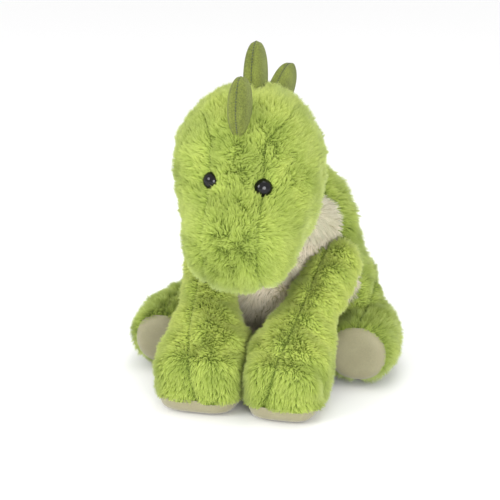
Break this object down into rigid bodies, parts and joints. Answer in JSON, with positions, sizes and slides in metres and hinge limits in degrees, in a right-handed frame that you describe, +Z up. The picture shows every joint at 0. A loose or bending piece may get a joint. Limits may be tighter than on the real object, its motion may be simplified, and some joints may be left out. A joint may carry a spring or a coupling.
{
  "type": "plush dinosaur",
  "caption": "Seated plush dinosaur with hanging head, felt back spikes, domed eyes, cream belly and soles; head, legs and tail turn at their seams.",
  "frame": {"origin": "on the surface that the toy sits on, under the middle of its outline", "axes": "+Z up; the face looks along -Y; +X is towards the toy's own left; X = 0 is its plane of symmetry"},
  "size_m": [0.248, 0.291, 0.3119],
  "materials": {
    "green_plush": "long-pile plush fur fabric, apple green",
    "belly_plush": "long-pile plush fur fabric, cream",
    "sole_plush": "short smooth velour, cream",
    "felt": "olive felt",
    "stuffing": "polyester fibre fill, hidden",
    "eye_gloss": "polished black",
    "washer_plastic": "natural white, hidden"
  },
  "bodies": {
    "trunk": {"back_panel_left": "green_plush", "back_panel_right": "green_plush", "belly_panel": "belly_plush", "spike_back_left": "felt", "spike_back_right": "felt", "spike_rump_left": "felt", "spike_rump_right": "felt", "spike_shoulder_left": "felt", "spike_shoulder_right": "felt", "trunk_stuffing": "stuffing"},
    "neck": {"neck_sleeve": "green_plush", "neck_stuffing": "stuffing"},
    "head": {"eye_left": "eye_gloss", "eye_right": "eye_gloss", "eye_washer_left": "washer_plastic", "eye_washer_right": "washer_plastic", "head_gusset": "green_plush", "head_side_left": "green_plush", "head_side_right": "green_plush", "head_stuffing": "stuffing", "spike_brow_left": "felt", "spike_brow_right": "felt", "spike_crown_left": "felt", "spike_crown_right": "felt", "spike_nape_left": "felt", "spike_nape_right": "felt"},
    "front_leg_left": {"front_leg_inner_left": "green_plush", "front_leg_outer_left": "green_plush", "front_leg_stuffing_left": "stuffing", "paw_sole_left": "sole_plush"},
    "front_leg_right": {"front_leg_inner_right": "green_plush", "front_leg_outer_right": "green_plush", "front_leg_stuffing_right": "stuffing", "paw_sole_right": "sole_plush"},
    "hind_leg_left": {"foot_sole_left": "sole_plush", "hind_leg_inner_left": "green_plush", "hind_leg_outer_left": "green_plush", "hind_leg_stuffing_left": "stuffing"},
    "hind_leg_right": {"foot_sole_right": "sole_plush", "hind_leg_inner_right": "green_plush", "hind_leg_outer_right": "green_plush", "hind_leg_stuffing_right": "stuffing"},
    "tail": {"spike_tail_left": "felt", "spike_tail_right": "felt", "tail_panel_left": "green_plush", "tail_panel_right": "green_plush", "tail_stuffing": "stuffing"}
  },
  "joints": [
    {"name": "neck_nod", "type": "hinge", "parent": "trunk", "child": "neck", "pos_m": [0, 0.002, 0.182], "axis": [-1, 0, 0], "range_deg": [0, 40]},
    {"name": "head_tilt", "type": "hinge", "parent": "neck", "child": "head", "pos_m": [0, 0.002, 0.182], "axis": [0, -0.8882, 0.4594], "range_deg": [-20, 20]},
    {"name": "front_leg_left_lift", "type": "hinge", "parent": "trunk", "child": "front_leg_left", "pos_m": [0.055, -0.013, 0.11], "axis": [0, -1, 0], "range_deg": [0, 70]},
    {"name": "front_leg_right_lift", "type": "hinge", "parent": "trunk", "child": "front_leg_right", "pos_m": [-0.055, -0.013, 0.11], "axis": [0, 1, 0], "range_deg": [0, 70]},
    {"name": "hind_leg_left_swing", "type": "hinge", "parent": "trunk", "child": "hind_leg_left", "pos_m": [0.054, 0.05, 0.046], "axis": [1, 0, 0], "range_deg": [0, 80]},
    {"name": "hind_leg_right_swing", "type": "hinge", "parent": "trunk", "child": "hind_leg_right", "pos_m": [-0.054, 0.05, 0.046], "axis": [1, 0, 0], "range_deg": [0, 80]},
    {"name": "tail_sway", "type": "hinge", "parent": "trunk", "child": "tail", "pos_m": [0, 0.09, 0.047], "axis": [0, 0, 1], "range_deg": [-22, 22]}
  ]
}
